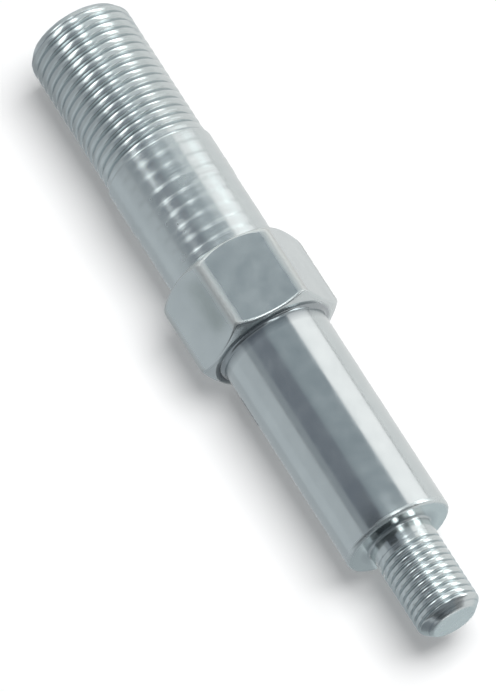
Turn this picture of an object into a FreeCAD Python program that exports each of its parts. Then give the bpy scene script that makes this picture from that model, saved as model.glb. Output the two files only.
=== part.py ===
import FreeCAD, Part
import math
import os

# Shock mount stud, turned from hexagonal bar in one piece. Lengths are in millimetres.
# The stud's axis is X. The origin is on the axis, at the middle of the journal.
# +X runs from there to the small thread, and the stud lies on one flat of its hexagon.

# The hexagon that the bar leaves
hexagon_sides = 6
across_flats = 18.85
hexagon_length = 12.65
hexagon_face_diameter = 18.2
hexagon_chamfer_deg = 30.0
bar_corner_round = 0.6

# The smooth journal that the shock's bush sits on
journal_diameter = 15.87
journal_length = 33.7
journal_root_fillet = 0.6
journal_edge_round = 0.55

# The small threaded end, 3/8-24, drawn at the thread's major diameter
small_thread_diameter = 9.4
small_end_length = 14.4
small_root_fillet = 0.35
small_chamfer_length = 1.35
small_face_diameter = 6.5
small_chamfer_round = 0.9

# The plain shank between the hexagon and the large thread
shank_length = 18.75
shank_seat_length = 7.2
shank_seat_diameter = 16.32
shank_diameter = 16.16
shank_relief_slope = 0.25
shank_root_fillet = 0.4
shank_edge_round = 0.25

# The large threaded end, 5/8-18, drawn at the thread's major diameter
large_thread_diameter = 15.7
large_thread_length = 23.9
large_chamfer_length = 1.7
large_face_diameter = 13.2
large_chamfer_round = 1.2

# Room that the turned profile leaves beyond the bar's corners
blank_clearance = 0.3

# Where each length ends, along X
shoulder_x = journal_length / 2.0
small_end_x = shoulder_x + small_end_length
seat_x = -journal_length / 2.0
hexagon_far_x = seat_x - hexagon_length
shank_far_x = hexagon_far_x - shank_length
large_end_x = shank_far_x - large_thread_length

# The turned shape around the bar's corners
bar_corner_radius = across_flats / 2.0 / math.cos(math.pi / hexagon_sides)
blank_radius = bar_corner_radius + blank_clearance
hexagon_face_radius = hexagon_face_diameter / 2.0
chamfer_setback = (blank_radius - hexagon_face_radius) * math.tan(math.radians(hexagon_chamfer_deg))


def at(x, radius):
    """A point of the turned profile, in the plane of the axis."""
    return FreeCAD.Vector(x, 0.0, radius)


def rounded_profile(corners):
    """Edges along the corners, each corner rounded to its own radius. A corner is (point, radius)."""
    edges = []
    start = corners[0][0]
    for index in range(1, len(corners) - 1):
        corner, radius = corners[index]
        if radius == 0.0:
            edges.append(Part.makeLine(start, corner))
            start = corner
            continue
        back = (corners[index - 1][0] - corner).normalize()
        ahead = (corners[index + 1][0] - corner).normalize()
        half_angle = back.getAngle(ahead) / 2.0
        reach = radius / math.tan(half_angle)
        middle = (back + ahead).normalize()
        arc_start = corner + back * reach
        arc_end = corner + ahead * reach
        arc_middle = corner + middle * (radius / math.sin(half_angle) - radius)
        edges.append(Part.makeLine(start, arc_start))
        edges.append(Part.Arc(arc_start, arc_middle, arc_end).toShape())
        start = arc_end
    edges.append(Part.makeLine(start, corners[-1][0]))
    return edges


def turned_blank():
    """The lathe's work: everything round, with the hexagon's zone left as wide as the bar's corners."""
    corners = [
        (at(large_end_x, 0.0), 0.0),
        (at(large_end_x, large_face_diameter / 2.0), large_chamfer_round),
        (at(large_end_x + large_chamfer_length, large_thread_diameter / 2.0), large_chamfer_round),
        (at(shank_far_x, large_thread_diameter / 2.0), 0.0),
        (at(shank_far_x, shank_seat_diameter / 2.0), shank_edge_round),
        (at(shank_far_x + shank_seat_length, shank_seat_diameter / 2.0), 0.0),
        (at(shank_far_x + shank_seat_length + shank_relief_slope, shank_diameter / 2.0), 0.0),
        (at(hexagon_far_x, shank_diameter / 2.0), shank_root_fillet),
        (at(hexagon_far_x, hexagon_face_radius), 0.0),
        (at(hexagon_far_x + chamfer_setback, blank_radius), 0.0),
        (at(seat_x - chamfer_setback, blank_radius), 0.0),
        (at(seat_x, hexagon_face_radius), 0.0),
        (at(seat_x, journal_diameter / 2.0), journal_root_fillet),
        (at(shoulder_x, journal_diameter / 2.0), journal_edge_round),
        (at(shoulder_x, small_thread_diameter / 2.0), small_root_fillet),
        (at(small_end_x - small_chamfer_length, small_thread_diameter / 2.0), small_chamfer_round),
        (at(small_end_x, small_face_diameter / 2.0), small_chamfer_round),
        (at(small_end_x, 0.0), 0.0),
    ]
    outline = rounded_profile(corners)
    outline.append(Part.makeLine(corners[-1][0], corners[0][0]))
    face = Part.Face(Part.Wire(outline))
    return face.revolve(FreeCAD.Vector(0, 0, 0), FreeCAD.Vector(1, 0, 0), 360.0)


def hexagonal_bar():
    """The bar stock, longer than the stud, with one flat facing down and its long edges rounded."""
    start_x = large_end_x - blank_clearance
    length = small_end_x + blank_clearance - start_x
    points = []
    for corner in range(hexagon_sides + 1):
        angle = 2.0 * math.pi * corner / hexagon_sides
        across = bar_corner_radius * math.cos(angle)
        up = bar_corner_radius * math.sin(angle)
        points.append(FreeCAD.Vector(start_x, across, up))
    section = Part.Face(Part.makePolygon(points))
    bar = section.extrude(FreeCAD.Vector(length, 0, 0))
    long_edges = [edge for edge in bar.Edges if edge.BoundBox.XLength > across_flats]
    return bar.makeFillet(bar_corner_round, long_edges)


stud = turned_blank().common(hexagonal_bar())
stud = stud.removeSplitter()
if len(stud.Solids) != 1:
    raise ValueError("the stud isn't one solid")
stud = stud.Solids[0]
if not stud.isValid():
    raise ValueError("the stud's solid isn't valid")

os.makedirs("parts", exist_ok=True)
stud.exportStep("parts/shock_mount_stud.step")
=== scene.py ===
import functools
import math

import bpy
import numpy as np
from mathutils import Matrix, Vector, noise


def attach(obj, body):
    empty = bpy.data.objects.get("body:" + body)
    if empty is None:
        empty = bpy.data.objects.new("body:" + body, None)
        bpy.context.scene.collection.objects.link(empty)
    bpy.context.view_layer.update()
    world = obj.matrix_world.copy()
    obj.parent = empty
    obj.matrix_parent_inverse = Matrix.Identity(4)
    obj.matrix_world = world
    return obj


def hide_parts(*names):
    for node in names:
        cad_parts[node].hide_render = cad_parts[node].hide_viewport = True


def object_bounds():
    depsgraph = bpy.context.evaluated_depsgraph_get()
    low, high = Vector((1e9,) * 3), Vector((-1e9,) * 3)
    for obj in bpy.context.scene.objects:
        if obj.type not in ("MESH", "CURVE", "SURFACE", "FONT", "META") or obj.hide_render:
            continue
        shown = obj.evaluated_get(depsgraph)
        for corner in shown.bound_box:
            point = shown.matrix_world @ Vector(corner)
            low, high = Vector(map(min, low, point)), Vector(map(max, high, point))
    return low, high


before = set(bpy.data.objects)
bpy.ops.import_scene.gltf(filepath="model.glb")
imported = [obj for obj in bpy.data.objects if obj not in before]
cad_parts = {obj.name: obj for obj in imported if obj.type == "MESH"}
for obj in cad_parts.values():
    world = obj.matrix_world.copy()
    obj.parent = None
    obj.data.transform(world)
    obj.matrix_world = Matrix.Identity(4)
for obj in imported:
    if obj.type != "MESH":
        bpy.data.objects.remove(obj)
cad_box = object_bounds()

NODE = "shock_mount_stud"

# The solid's own sizes, in millimetres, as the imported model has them
MM = 0.001
LARGE_END_X = cad_box[0][0] / MM
SMALL_END_X = cad_box[1][0] / MM
STEP_X = -48.25
SEAT_END_X = -41.05
HEX_FAR_X = -29.5
HEX_NEAR_X = -16.85
SHOULDER_X = 16.85
ACROSS_FLATS = 18.85
HEX_FACE_R = 9.1
HEX_CHAMFER = math.radians(30.0)
JOURNAL_R = 7.935
JOURNAL_ROOT_FILLET = 0.6
JOURNAL_EDGE_ROUND = 0.55
SHANK_SEAT_R = 8.16
SHANK_R = 8.08
SHANK_ROOT_FILLET = 0.4
SHANK_EDGE_ROUND = 0.25
LARGE_R = 7.85
LARGE_FACE_R = 6.6
LARGE_CHAMFER = 1.7
LARGE_CHAMFER_ROUND = 1.2
SMALL_R = 4.7
SMALL_FACE_R = 3.25
SMALL_CHAMFER = 1.35
SMALL_CHAMFER_ROUND = 0.9
SMALL_ROOT_FILLET = 0.35

# The skin's own roundings: the hexagon's long edges, rounder than the solid's, and its face edges
CORNER_ROUND = 0.9
FACE_EDGE_ROUND = 0.14

# Threads, inches to millimetres
LARGE_PITCH = 25.4 / 18
SMALL_PITCH = 25.4 / 24
LARGE_RUNOUT = (STEP_X - 0.12, STEP_X - 1.0)
NECK_END_X = SHOULDER_X + 2.0
SMALL_RUNOUT = (NECK_END_X + 0.05, NECK_END_X + 1.2)

# From one feed mark of the shank to the next, and from one of its rings to the next
FEED = 2.15
SHANK_ROW = 0.2

# Columns round the stud, and parts of the hexagon's section and of its columns
ROUND_COLUMNS = 144
SMALL_COLUMNS = 108
SIDES = 6
HALF_SIDE = math.pi / 6.0
CORNER_PARTS = 4
FLAT_PARTS = 14
CHAMFER_PARTS = 4
BAR_PARTS = 10
JOURNAL_PARTS = 24

# The hexagon's rows run from its far face to its near one. How many at each end are faced,
# which form the far chamfer's edge, and how many at the near end are darkened with painted shade.
HEX_FAR_FACED = 6
HEX_NEAR_FACED = 7
HEX_FAR_EDGE = range(6, 11)
HEX_NEAR_SHADED = 8

# Painted shade and wear, from -1 for a recess darkened with painted shade to 1 for a rubbed edge.
# The negative values are painted shade
WORN_END = 0.3
WORN_STEP = 0.6
ROOT_FILLET_SHADE = -0.5
WORN_FAR_EDGE = 0.7
NEAR_CHAMFER_SHADE = -0.15
JOURNAL_FILLET_SHADE = -1.0

# Material numbers in the mesh
THREAD, TURNED, GROUND, BAR, FACED = range(5)

# The camera that was fitted to the photograph, in degrees, millimetres of lens and metres
CAMERA_AZIMUTH = 59.992
CAMERA_ELEVATION = 64.137
CAMERA_LENS = 353.8
CAMERA_TARGET = (-0.01810, -0.003324, 0.0)
CAMERA_DISTANCE = 0.9269

# The studio, in metres. The floor lies a hair below the stud, and the cards on it a hair above it.
FLOOR_Z = cad_box[0][2] - 0.00002
CARD_Z = FLOOR_Z + 0.0004
FLOOR_COLUMNS = 96
FLOOR_RINGS = (0.15, 0.4, 0.8, 1.4, 2.6)
COVE_R = 0.2
COVE_PARTS = 10
BACKDROP_TOP = 0.30
FLOOR_GLOW = 0.160
WHITE = (1.0, 1.0, 1.0, 1.0)
MIDDLE = Vector((-0.018, 0.0, 0.0))


class Shell:
    """Vertices and faces of one closed turned skin, built ring by ring from the large end."""

    def __init__(self):
        self.points = []
        self.faces = []
        self.kinds = []
        self.shade_and_wear = []

    def point(self, x, radius, angle, shade_and_wear=0.0):
        self.points.append((x, radius * math.cos(angle), radius * math.sin(angle)))
        self.shade_and_wear.append(shade_and_wear)
        return len(self.points) - 1

    def ring(self, x, radius, angles, shade_and_wear=0.0):
        """One ring. radius is a number, or a function of the angle."""
        ids = []
        for angle in angles:
            at_r = radius(angle) if callable(radius) else radius
            ids.append(self.point(x, at_r, angle, shade_and_wear))
        return ids

    def face(self, ids, kind):
        kept = [v for n, v in enumerate(ids) if v != ids[n - 1]]
        if len(kept) >= 3:
            self.faces.append(tuple(kept))
            self.kinds.append(kind)

    def band(self, a, b, kind):
        """Faces between two rings of as many columns."""
        count = len(a)
        for j in range(count):
            k = (j + 1) % count
            self.face((a[j], a[k], b[k], b[j]), kind)

    def sweep(self, ring, profile, angles, kind, shade_and_wear=0.0):
        """A ring at each (x, radius) of a profile, joined to the one before. Returns the last."""
        for x, radius in profile:
            following = self.ring(x, radius, angles, shade_and_wear)
            self.band(ring, following, kind)
            ring = following
        return ring

    def cap(self, centre, ring, kind, first):
        """Faces from an end's middle point to its ring. first is true at the large end."""
        count = len(ring)
        for j in range(count):
            k = (j + 1) % count
            self.face((centre, ring[k], ring[j]) if first else (ring[j], ring[k], centre), kind)

    def zipper(self, a, a_angles, b, b_angles, kind):
        """Faces between two rings of different columns, both of which start at the same angle."""
        turn = 2.0 * math.pi
        a_angles = list(a_angles) + [a_angles[0] + turn]
        b_angles = list(b_angles) + [b_angles[0] + turn]
        a, b = a + [a[0]], b + [b[0]]
        i = j = 0
        while i < len(a) - 1 or j < len(b) - 1:
            if j == len(b) - 1 or (i < len(a) - 1 and a_angles[i + 1] <= b_angles[j + 1]):
                self.face((a[i], a[i + 1], b[j]), kind)
                i += 1
            else:
                self.face((a[i], b[j + 1], b[j]), kind)
                j += 1


def even_angles(count):
    return [2.0 * math.pi * j / count for j in range(count)]


def between(a, b, parts):
    """Points that divide the line from a to b, without its ends."""
    points = []
    for n in range(1, parts):
        points.append((a[0] + (b[0] - a[0]) * n / parts, a[1] + (b[1] - a[1]) * n / parts))
    return points


def arc_points(before, corner, after, radius, steps):
    """Points of the rounding of one corner of a profile in (x, radius), ends included."""
    b = Vector((before[0] - corner[0], before[1] - corner[1])).normalized()
    a = Vector((after[0] - corner[0], after[1] - corner[1])).normalized()
    half = b.angle(a) / 2.0
    reach = radius / math.tan(half)
    middle = (a + b).normalized()
    centre = Vector(corner) + middle * (radius / math.sin(half))
    start = Vector(corner) + b * reach - centre
    end = Vector(corner) + a * reach - centre
    sweep = start.angle_signed(end)
    points = []
    for n in range(steps + 1):
        turn = -sweep * n / steps
        c, s = math.cos(turn), math.sin(turn)
        points.append((centre.x + c * start.x - s * start.y, centre.y + s * start.x + c * start.y))
    return points


def smooth(edge_a, edge_b, value):
    t = min(1.0, max(0.0, (value - edge_a) / (edge_b - edge_a)))
    return t * t * (3.0 - 2.0 * t)


def soft_min(a, b, k):
    h = max(k - abs(a - b), 0.0) / k
    return min(a, b) - h * h * k / 4.0


def thread_form(pitch):
    """One turn of the thread, as (share of the pitch, depth): crowned crest, 60 degree groove."""
    back_lean, front_lean = math.radians(-20.0), math.radians(16.0)
    crest_parts = 8
    crest_width, root_width, root_round = 0.62 * pitch, 0.06 * pitch, 0.05 * pitch
    crown = crest_width / (math.sin(front_lean) - math.sin(back_lean))
    stations = []
    for n in range(crest_parts + 1):
        turn = back_lean + (front_lean - back_lean) * n / crest_parts
        stations.append((crown * math.sin(turn), crown * (1.0 - math.cos(turn))))
    edge, far_edge = stations[-1], (stations[0][0] + pitch, stations[0][1])
    steep = math.tan(math.radians(60.0))
    depth = (steep * (far_edge[0] - edge[0] - root_width) + edge[1] + far_edge[1]) / 2.0
    bottom = (edge[0] + (depth - edge[1]) / steep, depth)
    far_bottom = (bottom[0] + root_width, depth)
    down = 0.25
    stations.append((edge[0] + down * (bottom[0] - edge[0]), edge[1] + down * (depth - edge[1])))
    stations += arc_points(edge, bottom, far_bottom, root_round, 2)
    stations += arc_points(bottom, far_bottom, far_edge, root_round, 2)
    last_x = far_edge[0] - down * (far_edge[0] - far_bottom[0])
    stations.append((last_x, far_edge[1] + down * (depth - far_edge[1])))
    return [(x / pitch, cut) for x, cut in stations], depth


def thread_skin(outline, plain_r, runout, blend):
    """A thread's radius, and a value that darkens it with painted shade towards the groove's
    bottom, at a place. Its grooves fade out over the runout.
    """

    def outline_r(x):
        for a, b in zip(outline, outline[1:]):
            if a[0] < x <= b[0]:
                return a[1] + (b[1] - a[1]) * (x - a[0]) / (b[0] - a[0])
        return plain_r

    def skin(x, cut, depth):
        threaded = plain_r - cut * smooth(runout[0], runout[1], x)
        # The second value is -1 at a groove's bottom, where painted shade darkens the plate
        return soft_min(outline_r(x), threaded, blend), 1.0 - 2.0 * cut / depth

    return skin


def thread_zone(shell, angles, start, end, pitch, phase, skin):
    """A right-hand helical grid between two plain rings, start and end, each given as (x, ring)."""
    stations, depth = thread_form(pitch)
    rows = len(stations)
    count = len(angles)
    near = 0.012 * pitch
    made = {}

    def vertex(i, j):
        if j == count:
            i, j = i + rows, 0
        turn, step = divmod(i, rows)
        x = phase + pitch * (turn + stations[step][0] + j / count)
        if x <= start[0] + near:
            return start[1][j]
        if x >= end[0] - near:
            return end[1][j]
        if (i, j) not in made:
            radius, shade_and_wear = skin(x, stations[step][1], depth)
            made[(i, j)] = shell.point(x, radius, angles[j], shade_and_wear)
        return made[(i, j)]

    first = rows * (math.floor((start[0] - phase) / pitch) - 2)
    last = rows * (math.ceil((end[0] - phase) / pitch) + 2)
    for i in range(first, last):
        for j in range(count):
            ids = (vertex(i, j), vertex(i, j + 1), vertex(i + 1, j + 1), vertex(i + 1, j))
            shell.face(ids, THREAD)


def large_end(shell, angles):
    """The faced end with its rounded chamfer, and the thread, right up to the shank's step."""
    face_corner = (LARGE_END_X, LARGE_FACE_R)
    wall_corner = (LARGE_END_X + LARGE_CHAMFER, LARGE_R)
    arc = arc_points((LARGE_END_X, 0.0), face_corner, wall_corner, LARGE_CHAMFER_ROUND, 6)
    wall_arc = arc_points(face_corner, wall_corner, (STEP_X, LARGE_R), LARGE_CHAMFER_ROUND, 12)
    centre = shell.point(LARGE_END_X, 0.0, 0.0)
    ring = shell.ring(LARGE_END_X, 0.35, angles)
    shell.cap(centre, ring, FACED, True)
    face = [(LARGE_END_X, radius) for radius in (1.3, 2.4, 3.6, 4.8, arc[0][1] - 0.25)]
    ring = shell.sweep(ring, face, angles, FACED)
    ring = shell.sweep(ring, arc, angles, FACED, WORN_END)
    thread_end = shell.ring(STEP_X, LARGE_R, angles)
    skin = thread_skin([arc[-1]] + wall_arc, LARGE_R, LARGE_RUNOUT, 0.06)
    start, end = (arc[-1][0], ring), (STEP_X, thread_end)
    thread_zone(shell, angles, start, end, LARGE_PITCH, STEP_X + 0.3, skin)
    return thread_end


def shank_wave(x, angle):
    """Feed marks of the turning tool: a long gentle fall and a short rise, repeated."""
    inside = smooth(STEP_X + 0.3, STEP_X + 1.6, x) * smooth(HEX_FAR_X - 0.5, HEX_FAR_X - 1.6, x)
    across, up = math.cos(angle), math.sin(angle)
    drift = noise.noise(Vector((x * 0.35, across * 0.8, up * 0.8)))
    place = (x / FEED + 0.15 * drift) % 1.0
    wave = smooth(0.3, 0.7, place) - place
    fine = noise.noise(Vector((x * 1.7, across * 2.0 + 7.0, up * 2.0)))
    return inside * (0.045 * wave + 0.006 * fine)


def shank_radius(x, angle):
    fall = smooth(SEAT_END_X - 0.6, SEAT_END_X + 1.0, x)
    return SHANK_SEAT_R + (SHANK_R - SHANK_SEAT_R) * fall + shank_wave(x, angle)


def shank(shell, ring, angles):
    """The step's rounded edge, the shank with its feed marks and the fillet at the hexagon."""
    step = (STEP_X, SHANK_SEAT_R)
    edge = arc_points((STEP_X, 0.0), step, (SEAT_END_X, SHANK_SEAT_R), SHANK_EDGE_ROUND, 4)
    foot = (HEX_FAR_X, SHANK_R)
    root = arc_points((SEAT_END_X, SHANK_R), foot, (HEX_FAR_X, HEX_FACE_R), SHANK_ROOT_FILLET, 5)
    wall = []
    x = edge[-1][0] + SHANK_ROW
    while x < root[0][0] - SHANK_ROW / 2.0:
        wall.append((x, functools.partial(shank_radius, x)))
        x += SHANK_ROW
    ring = shell.sweep(ring, edge, angles, TURNED, WORN_STEP)
    ring = shell.sweep(ring, wall, angles, TURNED)
    # The fillet at the hexagon is darkened with painted shade
    return shell.sweep(ring, root, angles, TURNED, ROOT_FILLET_SHADE)


def hexagon_columns():
    """Angle and radius of each column of the bar's section, close together round its corners."""
    half = ACROSS_FLATS / 2.0
    corner_r = half / math.cos(HALF_SIDE)
    centre_r = corner_r - CORNER_ROUND / math.cos(HALF_SIDE)
    flat_half = half * math.tan(HALF_SIDE) - CORNER_ROUND * math.tan(HALF_SIDE)
    columns = []
    for side in range(SIDES):
        turn = side * math.pi / 3.0
        for n in range(-CORNER_PARTS, CORNER_PARTS + 1):
            lean = HALF_SIDE * n / CORNER_PARTS
            x = centre_r + CORNER_ROUND * math.cos(lean)
            y = CORNER_ROUND * math.sin(lean)
            columns.append((turn + math.atan2(y, x), math.hypot(x, y)))
        for n in range(1, FLAT_PARTS):
            along = -flat_half + 2.0 * flat_half * n / FLAT_PARTS
            columns.append((turn + HALF_SIDE + math.atan2(along, half), math.hypot(along, half)))
    before = [c for c in columns if c[0] < -1e-9]
    rest = [c for c in columns if c[0] >= -1e-9]
    return rest + [(a + 2.0 * math.pi, r) for a, r in before]


def chamfer_depth(radius, widest):
    """How far the chamfer lies behind the hexagon's face at a radius. It is slightly crowned."""
    deepest = (widest - HEX_FACE_R) * math.tan(HEX_CHAMFER)
    share = (radius - HEX_FACE_R) / (widest - HEX_FACE_R)
    return deepest * (0.65 * share + 0.35 * share * share)


def hexagon_line(radius, widest):
    """One column of the hexagon, from face to face through both chamfers, as (x, radius)."""
    setback = chamfer_depth(radius, widest)
    far_valley, near_valley = (HEX_FAR_X + setback, radius), (HEX_NEAR_X - setback, radius)
    far_face, near_face = (HEX_FAR_X, HEX_FACE_R), (HEX_NEAR_X, HEX_FACE_R)
    far = arc_points((HEX_FAR_X, 0.0), far_face, far_valley, FACE_EDGE_ROUND, 2)
    far_edge = arc_points(far_face, far_valley, near_valley, 0.1 + 1.3 * setback, 5)
    near_edge = arc_points(far_valley, near_valley, near_face, 0.42 + 0.25 * setback, 5)
    near = arc_points(near_valley, near_face, (HEX_NEAR_X, 0.0), FACE_EDGE_ROUND, 2)

    def crowned(a, b, away):
        """Points of a chamfer between its roundings, a little proud of the straight cone."""
        points = []
        for x, r in between(a, b, CHAMFER_PARTS):
            straight = setback * (r - HEX_FACE_R) / (radius - HEX_FACE_R)
            points.append((x - away * (straight - chamfer_depth(r, widest)), r))
        return points

    line = far + crowned(far[-1], far_edge[0], 1.0) + far_edge
    line += between(far_edge[-1], near_edge[0], BAR_PARTS)
    return line + near_edge + crowned(near_edge[-1], near[0], -1.0) + near


def hexagon(shell, ring, ring_angles):
    """The hexagon: each column runs from face to face through the turned chamfers' curved edges."""
    columns = hexagon_columns()
    angles = [angle for angle, radius in columns]
    widest = max(radius for angle, radius in columns)
    lines = [hexagon_line(radius, widest) for angle, radius in columns]
    rows = len(lines[0])
    corner_height = widest - HEX_FACE_R
    rings = []
    for row in range(rows):
        ids = []
        for (angle, radius), line in zip(columns, lines):
            shade_and_wear = smooth(0.75 * corner_height, corner_height, radius - HEX_FACE_R)
            if row in HEX_FAR_EDGE:
                shade_and_wear = max(shade_and_wear, WORN_FAR_EDGE)
            # The near chamfer's rows are darkened a little with painted shade
            if row >= rows - HEX_NEAR_SHADED:
                shade_and_wear = NEAR_CHAMFER_SHADE
            ids.append(shell.point(line[row][0], line[row][1], angle, shade_and_wear))
        rings.append(ids)
    shell.zipper(ring, ring_angles, rings[0], angles, FACED)
    for row, (a, b) in enumerate(zip(rings, rings[1:])):
        faced = row < HEX_FAR_FACED or row >= rows - HEX_NEAR_FACED
        shell.band(a, b, FACED if faced else BAR)
    return rings[-1], angles


def journal(shell, ring, ring_angles, angles):
    """The fillet at the hexagon, the journal and its edge. Returns the last ring and its radius."""
    foot, corner = (HEX_NEAR_X, JOURNAL_R), (SHOULDER_X, JOURNAL_R)
    root = arc_points((HEX_NEAR_X, HEX_FACE_R), foot, corner, JOURNAL_ROOT_FILLET, 7)
    edge = arc_points(foot, corner, (SHOULDER_X, 0.0), JOURNAL_EDGE_ROUND, 7)
    # The fillet at the hexagon is darkened with painted shade, as dark as the plate's recesses go
    first = shell.ring(*root[0], angles, JOURNAL_FILLET_SHADE)
    shell.zipper(ring, ring_angles, first, angles, FACED)
    ring = shell.sweep(first, root[1:], angles, GROUND, JOURNAL_FILLET_SHADE)
    length = edge[0][0] - 0.15 - root[-1][0]
    wall = []
    for n in range(1, JOURNAL_PARTS + 1):
        wall.append((root[-1][0] + length * n / JOURNAL_PARTS, JOURNAL_R))
    ring = shell.sweep(ring, wall, angles, GROUND)
    return shell.sweep(ring, edge, angles, FACED), edge[-1][1]


def small_end(shell, ring, ring_r, ring_angles, angles):
    """Shoulder, neck, small thread and the faced end with its rounded chamfer."""
    foot = (SHOULDER_X, SMALL_R)
    root = arc_points((SHOULDER_X, JOURNAL_R), foot, (SMALL_END_X, SMALL_R), SMALL_ROOT_FILLET, 5)
    face_corner = (SMALL_END_X, SMALL_FACE_R)
    wall_corner = (SMALL_END_X - SMALL_CHAMFER, SMALL_R)
    wall_arc = arc_points(foot, wall_corner, face_corner, SMALL_CHAMFER_ROUND, 12)
    arc = arc_points(wall_corner, face_corner, (SMALL_END_X, 0.0), SMALL_CHAMFER_ROUND, 6)

    middle = [(SHOULDER_X, 0.5 * (ring_r + root[0][1]))]
    ring = shell.sweep(ring, middle, ring_angles, GROUND)
    # The fillet at the shoulder is darkened with painted shade
    first = shell.ring(*root[0], angles, ROOT_FILLET_SHADE)
    shell.zipper(ring, ring_angles, first, angles, GROUND)
    ring = shell.sweep(first, root[1:], angles, GROUND, ROOT_FILLET_SHADE)
    neck = [(x, SMALL_R) for x in (root[-1][0] + 0.4, root[-1][0] + 1.0, NECK_END_X)]
    ring = shell.sweep(ring, neck, angles, GROUND)

    thread_end = shell.ring(*arc[0], angles, WORN_END)
    skin = thread_skin(wall_arc + [arc[0]], SMALL_R, SMALL_RUNOUT, 0.05)
    start, end = (NECK_END_X, ring), (arc[0][0], thread_end)
    thread_zone(shell, angles, start, end, SMALL_PITCH, NECK_END_X + 0.4, skin)
    ring = shell.sweep(thread_end, arc[1:], angles, FACED, WORN_END)
    face = [(SMALL_END_X, radius) for radius in (arc[-1][1] - 0.2, 1.9, 1.1, 0.3)]
    ring = shell.sweep(ring, face, angles, FACED)
    centre = shell.point(SMALL_END_X, 0.0, 0.0)
    shell.cap(centre, ring, FACED, False)


def build_stud():
    """The whole skin, from the large end to the small one."""
    shell = Shell()
    wide = even_angles(ROUND_COLUMNS)
    ring = large_end(shell, wide)
    ring = shank(shell, ring, wide)
    ring, hexagon_angles = hexagon(shell, ring, wide)
    ring, ring_r = journal(shell, ring, hexagon_angles, wide)
    small_end(shell, ring, ring_r, wide, even_angles(SMALL_COLUMNS))
    return shell


def make_object(name, shell, materials):
    points = np.array(shell.points) * MM
    mesh = bpy.data.meshes.new(name)
    mesh.from_pydata([tuple(p) for p in points], [], shell.faces)
    for material in materials:
        mesh.materials.append(material)
    mesh.polygons.foreach_set("material_index", shell.kinds)
    mesh.polygons.foreach_set("use_smooth", [True] * len(mesh.polygons))
    # Per point: painted shade in recesses where negative, wear on rubbed edges where positive
    shade_and_wear = mesh.attributes.new("shade_and_wear", "FLOAT", "POINT")
    shade_and_wear.data.foreach_set("value", [max(-1.0, min(1.0, w)) for w in shell.shade_and_wear])
    mesh.update()
    # Vertex normals weighted by face area keep the flats flat beside their narrow roundings
    total = np.zeros((len(points), 3))
    for polygon in mesh.polygons:
        weighted = np.array(polygon.normal) * polygon.area
        for v in polygon.vertices:
            total[v] += weighted
    total /= np.linalg.norm(total, axis=1, keepdims=True)
    mesh.normals_split_custom_set_from_vertices([tuple(n) for n in total])
    piece = bpy.data.objects.new(name, mesh)
    bpy.context.scene.collection.objects.link(piece)
    return piece


def link(tree, a, b):
    tree.links.new(a, b)


def add(tree, kind, inputs=None, **settings):
    """A new node with its settings and the values of its inputs."""
    node = tree.nodes.new(kind)
    for name, value in settings.items():
        setattr(node, name, value)
    for name, value in (inputs or {}).items():
        node.inputs[name].default_value = value
    return node


def bare_material(name):
    """A material whose node tree is empty."""
    material = bpy.data.materials.new(name)
    material.use_nodes = True
    material.node_tree.nodes.clear()
    return material


def add_noise(tree, coords, scale, detail):
    texture = add(tree, "ShaderNodeTexNoise", {"Scale": scale, "Detail": detail})
    link(tree, coords.outputs["Object"], texture.inputs["Vector"])
    return texture


def add_range(tree, source, low, high, to_low, to_high):
    limits = {"From Min": low, "From Max": high, "To Min": to_low, "To Max": to_high}
    node = add(tree, "ShaderNodeMapRange", limits)
    link(tree, source, node.inputs["Value"])
    return node


def plate_colour(tree, coords, shade_and_wear, recess_shade, rubbed):
    """Cloudy plating of two close blue greys, darkened with painted shade in recesses, and warmer
    on rubbed corners.
    """
    cloud = add_noise(tree, coords, 260.0, 4.0)
    tone = add(tree, "ShaderNodeValToRGB")
    tone.color_ramp.elements[0].position = 0.32
    tone.color_ramp.elements[0].color = (0.665, 0.715, 0.718, 1.0)
    tone.color_ramp.elements[1].position = 0.68
    tone.color_ramp.elements[1].color = (0.705, 0.755, 0.755, 1.0)
    link(tree, cloud.outputs["Fac"], tone.inputs["Fac"])
    spread = add_range(tree, shade_and_wear.outputs["Fac"], -1.0, 1.0, 0.0, 1.0)
    # Ramp from the recess colour's painted shade at -1 through white at 0 to the rubbed corners'
    # warmer tone at 1
    edge = add(tree, "ShaderNodeValToRGB")
    edge.color_ramp.elements[0].position = 0.0
    edge.color_ramp.elements[0].color = (recess_shade, recess_shade + 0.01, recess_shade + 0.03, 1.0)
    edge.color_ramp.elements[1].position = 0.5
    edge.color_ramp.elements[1].color = WHITE
    if rubbed:
        corner_tone = edge.color_ramp.elements.new(1.0)
        corner_tone.color = (0.97, 0.925, 0.905, 1.0)
    link(tree, spread.outputs["Result"], edge.inputs["Fac"])
    # A colour mix has its factor, A and B at inputs 0, 6 and 7, and its colour at output 2
    shade = add(tree, "ShaderNodeMix", data_type="RGBA", blend_type="MULTIPLY")
    shade.inputs[0].default_value = 1.0
    link(tree, tone.outputs["Color"], shade.inputs[6])
    link(tree, edge.outputs["Color"], shade.inputs[7])
    return shade.outputs[2]


def plate_roughness(tree, coords, shade_and_wear, roughness, rubbed):
    """Roughness that varies softly, and rises on rubbed corners."""
    patch = add_noise(tree, coords, 420.0, 3.0)
    rough = add_range(tree, patch.outputs["Fac"], 0.3, 0.7, roughness - 0.035, roughness + 0.035)
    if not rubbed:
        return rough.outputs["Result"]
    corner = add(tree, "ShaderNodeMath", {1: rubbed}, operation="MULTIPLY_ADD", use_clamp=True)
    link(tree, shade_and_wear.outputs["Fac"], corner.inputs[0])
    link(tree, rough.outputs["Result"], corner.inputs[2])
    return corner.outputs[0]


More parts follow.
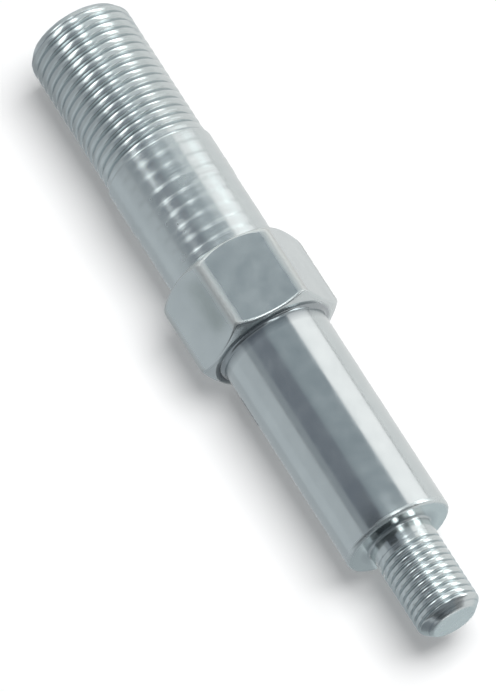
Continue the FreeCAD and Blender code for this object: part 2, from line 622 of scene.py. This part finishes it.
def line_place(tree, coords, stretch):
    """Where the tool lines' noise is read: stretched, or by the distance from the axis."""
    if stretch:
        mapping = add(tree, "ShaderNodeMapping", {"Scale": stretch})
        link(tree, coords.outputs["Object"], mapping.inputs["Vector"])
        return mapping.outputs["Vector"]
    split = add(tree, "ShaderNodeSeparateXYZ")
    link(tree, coords.outputs["Object"], split.inputs["Vector"])
    flat = add(tree, "ShaderNodeCombineXYZ")
    link(tree, split.outputs["Y"], flat.inputs["Y"])
    link(tree, split.outputs["Z"], flat.inputs["Z"])
    length = add(tree, "ShaderNodeVectorMath", operation="LENGTH")
    link(tree, flat.outputs["Vector"], length.inputs[0])
    place = add(tree, "ShaderNodeCombineXYZ")
    link(tree, length.outputs["Value"], place.inputs["X"])
    return place.outputs["Vector"]


def plate_relief(tree, coords, stretch, scale, line_strength, grain_strength):
    """Tool lines, which are noise that changes fast along one direction only, and a fine grain."""
    lines = add(tree, "ShaderNodeTexNoise", {"Scale": scale, "Detail": 3.0, "Roughness": 0.6})
    link(tree, line_place(tree, coords, stretch), lines.inputs["Vector"])
    bump_lines = add(tree, "ShaderNodeBump", {"Strength": line_strength, "Distance": 0.00003})
    link(tree, lines.outputs["Fac"], bump_lines.inputs["Height"])
    grain = add_noise(tree, coords, 2600.0, 4.0)
    bump_grain = add(tree, "ShaderNodeBump", {"Strength": grain_strength, "Distance": 0.00002})
    link(tree, grain.outputs["Fac"], bump_grain.inputs["Height"])
    link(tree, bump_lines.outputs["Normal"], bump_grain.inputs["Normal"])
    return bump_grain.outputs["Normal"]


def zinc(name, roughness, lines, grain, recess_shade=0.82, rubbed=0.0):
    """Bright zinc plate, darkened with painted shade in its recesses. lines is (stretch, scale,
    strength), its stretch None for rings.
    """
    material = bare_material(name)
    tree = material.node_tree
    out = add(tree, "ShaderNodeOutputMaterial")
    bsdf = add(tree, "ShaderNodeBsdfPrincipled", {"Metallic": 1.0})
    link(tree, bsdf.outputs["BSDF"], out.inputs["Surface"])
    coords = add(tree, "ShaderNodeTexCoord")
    shade_and_wear = add(tree, "ShaderNodeAttribute", attribute_name="shade_and_wear")
    link(tree, plate_colour(tree, coords, shade_and_wear, recess_shade, rubbed), bsdf.inputs["Base Color"])
    link(tree, plate_roughness(tree, coords, shade_and_wear, roughness, rubbed), bsdf.inputs["Roughness"])
    link(tree, plate_relief(tree, coords, *lines, grain), bsdf.inputs["Normal"])
    return material


def build_camera():
    azimuth, elevation = math.radians(CAMERA_AZIMUTH), math.radians(CAMERA_ELEVATION)
    back = Vector((
        math.sin(azimuth) * math.cos(elevation),
        -math.cos(azimuth) * math.cos(elevation),
        math.sin(elevation),
    ))
    right = Vector((math.cos(azimuth), math.sin(azimuth), 0.0))
    up = back.cross(right)
    data = bpy.data.cameras.new("camera")
    data.sensor_width = 36.0
    data.lens = CAMERA_LENS
    data.clip_start = 0.05
    data.clip_end = 20.0
    camera = bpy.data.objects.new("camera", data)
    bpy.context.scene.collection.objects.link(camera)
    place = Vector(CAMERA_TARGET) + back * CAMERA_DISTANCE
    turned = Matrix((right, up, back)).transposed().to_4x4()
    camera.matrix_world = Matrix.Translation(place) @ turned
    bpy.context.scene.camera = camera


def floor_material():
    """Pale and diffuse, with a little glow for the camera and for reflections only."""
    material = bare_material("pale_floor")
    tree = material.node_tree
    out = add(tree, "ShaderNodeOutputMaterial")
    diffuse = add(tree, "ShaderNodeBsdfDiffuse", {"Color": (0.86, 0.86, 0.86, 1.0)})
    path = add(tree, "ShaderNodeLightPath")
    seen = add(tree, "ShaderNodeMath", operation="MAXIMUM")
    link(tree, path.outputs["Is Camera Ray"], seen.inputs[0])
    link(tree, path.outputs["Is Glossy Ray"], seen.inputs[1])
    seen_too = add(tree, "ShaderNodeMath", operation="MAXIMUM")
    link(tree, seen.outputs[0], seen_too.inputs[0])
    link(tree, path.outputs["Is Transmission Ray"], seen_too.inputs[1])
    level = add(tree, "ShaderNodeMath", {1: FLOOR_GLOW}, operation="MULTIPLY")
    link(tree, seen_too.outputs[0], level.inputs[0])
    glow = add(tree, "ShaderNodeEmission", {"Color": WHITE})
    link(tree, level.outputs[0], glow.inputs["Strength"])
    both = add(tree, "ShaderNodeAddShader")
    link(tree, diffuse.outputs[0], both.inputs[0])
    link(tree, glow.outputs[0], both.inputs[1])
    link(tree, both.outputs[0], out.inputs["Surface"])
    return material


def build_floor():
    """A wide pale floor that curves up into a low backdrop all round."""
    count = FLOOR_COLUMNS
    profile = [(radius, 0.0) for radius in FLOOR_RINGS]
    edge_r = FLOOR_RINGS[-1]
    for n in range(1, COVE_PARTS + 1):
        turn = math.pi / 2.0 * n / COVE_PARTS
        profile.append((edge_r + COVE_R * math.sin(turn), COVE_R - COVE_R * math.cos(turn)))
    profile.append((edge_r + COVE_R, BACKDROP_TOP))
    points = [(0.0, 0.0, FLOOR_Z)]
    faces = []
    for radius, height in profile:
        for angle in even_angles(count):
            points.append((radius * math.cos(angle), radius * math.sin(angle), FLOOR_Z + height))
    for j in range(count):
        faces.append((0, 1 + j, 1 + (j + 1) % count))
    for row in range(len(profile) - 1):
        a, b = 1 + row * count, 1 + (row + 1) * count
        for j in range(count):
            k = (j + 1) % count
            faces.append((a + j, b + j, b + k, a + k))
    mesh = bpy.data.meshes.new("floor")
    mesh.from_pydata(points, [], faces)
    mesh.polygons.foreach_set("use_smooth", [True] * len(mesh.polygons))
    mesh.materials.append(floor_material())
    mesh.update()
    floor = bpy.data.objects.new("floor", mesh)
    bpy.context.scene.collection.objects.link(floor)


def aim(latitude, turn):
    """A direction from the stud: latitude leans towards +X, turn goes from +Y up over the stud."""
    latitude, turn = math.radians(latitude), math.radians(turn)
    across = math.cos(latitude)
    return Vector((math.sin(latitude), across * math.cos(turn), across * math.sin(turn)))


def lamp(name, latitude, turn, distance, size, radiance):
    """A rectangular lamp that looks at the stud. Its power follows from its own brightness."""
    data = bpy.data.lights.new(name, "AREA")
    data.shape = "RECTANGLE"
    data.size, data.size_y = size
    data.energy = radiance * math.pi * size[0] * size[1]
    piece = bpy.data.objects.new(name, data)
    bpy.context.scene.collection.objects.link(piece)
    back = aim(latitude, turn)
    side = Vector((1.0, 0.0, 0.0))
    side = (side - back * side.dot(back)).normalized()
    turned = Matrix((side, back.cross(side), back)).transposed().to_4x4()
    piece.matrix_world = Matrix.Translation(MIDDLE + back * distance) @ turned
    piece.visible_camera = False
    piece.visible_glossy = False


def glowing(name, color):
    material = bare_material(name)
    tree = material.node_tree
    glow = add(tree, "ShaderNodeEmission", {"Color": (*color, 1.0), "Strength": 1.0})
    out = add(tree, "ShaderNodeOutputMaterial")
    link(tree, glow.outputs[0], out.inputs["Surface"])
    return material


def reflector(name, points, faces, color):
    """A studio card that only the metal's gloss sees."""
    mesh = bpy.data.meshes.new(name)
    mesh.from_pydata(points, [], faces)
    mesh.materials.append(glowing(name, color))
    mesh.update()
    piece = bpy.data.objects.new(name, mesh)
    bpy.context.scene.collection.objects.link(piece)
    piece.visible_camera = False
    piece.visible_diffuse = False
    piece.visible_shadow = False


def card(name, latitudes, turns, color, distance=0.8, parts=10):
    """A curved card at a distance round the stud."""
    points, faces = [], []
    for i in range(parts + 1):
        latitude = latitudes[0] + (latitudes[1] - latitudes[0]) * i / parts
        for j in range(parts + 1):
            turn = turns[0] + (turns[1] - turns[0]) * j / parts
            points.append(tuple(MIDDLE + aim(latitude, turn) * distance))
    for i in range(parts):
        for j in range(parts):
            a = i * (parts + 1) + j
            faces.append((a, a + 1, a + parts + 2, a + parts + 1))
    reflector(name, points, faces, color)


def strip(name, along, turns, color, distance=0.15, parts=3):
    """A curved strip beside the stud, from one x to another."""
    points, faces = [], []
    for j in range(parts + 1):
        turn = turns[0] + (turns[1] - turns[0]) * j / parts
        beside = aim(0.0, turn) * distance
        points += [(x, beside.y, beside.z) for x in along]
    for j in range(parts):
        faces.append((2 * j, 2 * j + 1, 2 * j + 3, 2 * j + 2))
    reflector(name, points, faces, color)


def build_world():
    world = bpy.data.worlds.new("studio")
    bpy.context.scene.world = world
    world.use_nodes = True
    background = world.node_tree.nodes["Background"]
    background.inputs["Color"].default_value = (0.222, 0.225, 0.230, 1.0)
    background.inputs["Strength"].default_value = 1.0


def build_softboxes():
    """Softboxes, which the threads' crests and the hexagon's edges show as dots and lines."""
    card("softbox_left", (-64.0, -34.0), (122.0, 142.0), (2.8, 2.9, 2.9), 0.6)
    card("softbox_top", (-64.0, -34.0), (84.0, 97.0), (2.8, 2.9, 2.9), 0.6)
    card("softbox_right", (-66.0, -33.0), (24.0, 45.0), (3.2, 3.3, 3.3), 0.6)
    card("softbox_edge", (-5.0, 12.0), (71.0, 80.0), (1.7, 1.8, 1.8), 0.6)


def build_strips():
    """Strips 49 to 150 mm from the axis, each placed for one part of the stud."""
    # The large thread
    strip("strip_thread_left", (-0.094, -0.081), (124.0, 141.0), (2.0, 2.1, 2.1), 0.049)
    strip("strip_thread_top", (-0.094, -0.081), (86.0, 96.0), (1.8, 1.9, 1.9), 0.049)
    strip("strip_thread_right", (-0.094, -0.081), (29.0, 47.0), (2.4, 2.5, 2.5), 0.049)
    strip("strip_thread_pale", (-0.094, -0.067), (53.0, 82.0), (0.62, 0.65, 0.66), 0.05)
    strip("strip_thread_low", (-0.094, -0.067), (3.0, 53.0), (0.70, 0.72, 0.72), 0.05, 6)
    # The shank
    strip("strip_left", (-0.120, -0.096), (128.5, 137.5), (1.15, 1.20, 1.20))
    strip("strip_top", (-0.118, -0.096), (58.0, 70.0), (0.90, 0.94, 0.95))
    strip("strip_right", (-0.118, -0.092), (16.0, 34.0), (1.35, 1.4, 1.4))
    # The hexagon's near face and the journal's foot
    strip("strip_foot_top", (0.008, 0.036), (70.0, 84.0), (3.4, 3.5, 3.5), 0.10)
    strip("strip_foot_right", (0.008, 0.036), (14.0, 34.0), (2.4, 2.5, 2.5), 0.10)
    # The shoulder and the neck
    strip("strip_neck_top", (0.044, 0.074), (79.0, 91.0), (3.6, 3.7, 3.7), 0.10)
    strip("strip_neck_right", (0.044, 0.074), (12.0, 33.0), (3.6, 3.7, 3.7), 0.10)
    # The small thread
    strip("strip_small_dark", (0.0003, 0.009), (111.0, 142.0), (0.03, 0.034, 0.038), 0.049)
    strip("strip_small_top", (0.0055, 0.021), (81.0, 92.5), (2.7, 2.8, 2.8), 0.049)
    strip("strip_small_right", (0.0055, 0.021), (24.0, 42.0), (2.9, 3.0, 3.0), 0.049)
    strip("strip_small_pale", (0.003, 0.018), (59.0, 81.0), (0.60, 0.63, 0.64), 0.05)
    strip("strip_small_low", (0.003, 0.018), (3.0, 59.0), (0.70, 0.72, 0.72), 0.05, 6)


def build_cards():
    """Large cards that the plain surfaces mirror."""
    # Low on the right a bright band across a pale card, overhead a dark band across a pale card
    card("card_right", (-27.0, -13.0), (3.0, 53.0), (1.14, 1.12, 1.12), 0.75)
    card("card_right_wide", (-75.0, 34.0), (3.0, 53.0), (0.70, 0.72, 0.72))
    card("card_top", (-27.0, -13.0), (53.0, 108.0), (0.265, 0.305, 0.335), 0.75)
    card("card_shade", (-30.0, -12.0), (108.0, 146.0), (0.172, 0.190, 0.222), 0.75)
    card("card_shade_wide", (-33.0, 16.0), (100.0, 146.0), (0.33, 0.35, 0.37))
    card("card_top_wide", (-75.0, 16.0), (53.0, 100.0), (0.62, 0.66, 0.68))
    card("card_back", (-88.0, -33.0), (100.0, 185.0), (0.46, 0.50, 0.52))
    card("card_rise", (-33.0, 16.0), (146.0, 161.0), (0.29, 0.315, 0.34))
    # Dark ones on the camera's side and ahead of the small end
    card("card_camera", (16.0, 33.0), (56.0, 168.0), (0.02, 0.024, 0.028))
    card("card_over", (33.0, 60.0), (45.0, 165.0), (0.20, 0.22, 0.24))
    card("card_ahead", (60.0, 77.0), (96.0, 172.0), (0.24, 0.26, 0.28))
    card("card_ahead_low", (77.0, 88.0), (60.0, 172.0), (0.045, 0.05, 0.056))
    card("card_ahead_wide", (60.0, 88.0), (35.0, 190.0), (0.22, 0.25, 0.27), 0.85)


def build_front():
    """Dark floor and wall ahead of the small end, paler higher up."""
    line = ((0.10, CARD_Z), (0.40, CARD_Z), (0.40, 0.09), (0.40, 0.25))
    points = [(x, y, z) for x, z in line for y in (-0.25, 0.07)]
    reflector("card_front", points[:6], [(0, 2, 3, 1), (2, 4, 5, 3)], (0.060, 0.067, 0.074))
    reflector("card_front_high", points[4:], [(0, 2, 3, 1)], (0.23, 0.25, 0.27))


def build_table():
    """Grey table on the left, which rises at the back and is darker beside both ends."""
    line = [(y, CARD_Z) for y in (-0.009, -0.020, -0.055, -0.075, -0.15)]
    line.append((-0.30, FLOOR_Z + 0.11))
    for n, tone in enumerate((0.46, 0.55, 0.51, 0.51, 0.51)):
        for part, share in (("far", 0.78), ("near", 1.0), ("front", 0.30)):
            points = []
            for y, z in line[n:n + 2]:
                middle = -0.052 + 0.42 * y
                front = -0.012 - 0.27 * y if n >= 2 else 0.29
                ends = {"far": (-0.45, middle), "near": (middle, front), "front": (front, 0.30)}
                points += [(x, y, z) for x in ends[part]]
            color = (0.94 * share * tone, share * tone, 1.05 * share * tone)
            reflector("card_left_%s_%d" % (part, n), points, [(0, 1, 3, 2)], color)


def build_panel():
    """A dark panel that the hexagon's left flat mirrors from 13 mm away."""
    away = Vector((-0.378, -0.889, -0.261)) * 0.013
    corner_r = ACROSS_FLATS / 2.0 / math.cos(HALF_SIDE)
    points = []
    for x, up in ((-27.4, 8.5), (-19.0, 8.5), (-19.0, 5.9), (-27.4, 6.3)):
        across = -corner_r + up * math.tan(HALF_SIDE)
        points.append(tuple(Vector((x, across, up)) * MM + away))
    reflector("card_panel", points, [(0, 1, 2, 3)], (0.265, 0.30, 0.30))


def build_floor_cards():
    """Cards on the floor: shades by the hexagon and the small end, the table, both ends."""
    for name, xs, ys, color in (
        ("card_hexagon", (-0.0155, -0.0105), (-0.0085, 0.0), (0.12, 0.133, 0.145)),
        ("card_corner", (0.0325, 0.12), (-0.026, -0.0075), (0.19, 0.21, 0.23)),
        ("card_table", (-0.35, 0.30), (0.0105, 0.35), (0.80, 0.80, 0.80)),
        ("card_tip", (0.0175, 0.05), (-0.003, 0.016), (0.56, 0.62, 0.64)),
        ("card_tip_left", (0.0175, 0.05), (-0.010, -0.003), (0.38, 0.42, 0.44)),
        ("card_behind", (-0.45, -0.0735), (-0.009, 0.03), (0.50, 0.54, 0.56)),
    ):
        points = [(x, y, CARD_Z + 0.0001) for y in ys for x in xs]
        reflector(name, points, [(0, 1, 3, 2)], color)


build_camera()
build_floor()
build_world()
# Key overhead, a little behind, for the floor and its soft shadow
lamp("key", 4.2, 78.2, 1.0, (0.54, 0.64), 8.35)
build_softboxes()
build_strips()
build_cards()
build_front()
build_table()
build_panel()
build_floor_cards()

# In the order of the material numbers. Lines stretched along Y and Z run round the stud.
materials = [
    zinc("zinc_thread", 0.21, ((1.0, 0.05, 0.05), 6000.0, 0.40), 0.08),
    zinc("zinc_turned", 0.24, ((1.0, 0.03, 0.03), 5200.0, 0.55), 0.08),
    # A recess colour of 0.55 paints deeper shade into the recesses and fillets of ground and faced
    # plate
    zinc("zinc_ground", 0.18, ((1.0, 0.03, 0.03), 9000.0, 0.12), 0.05, recess_shade=0.55),
    zinc("zinc_bar", 0.23, ((0.04, 1.0, 1.0), 5000.0, 0.08), 0.06, rubbed=0.32),
    zinc("zinc_faced", 0.28, (None, 6000.0, 0.12), 0.05, recess_shade=0.55),
]
stud = make_object("stud_plated", build_stud(), materials)
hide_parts(NODE)
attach(stud, "root")

bpy.context.scene.view_settings.view_transform = "Standard"
bpy.context.view_layer.update()
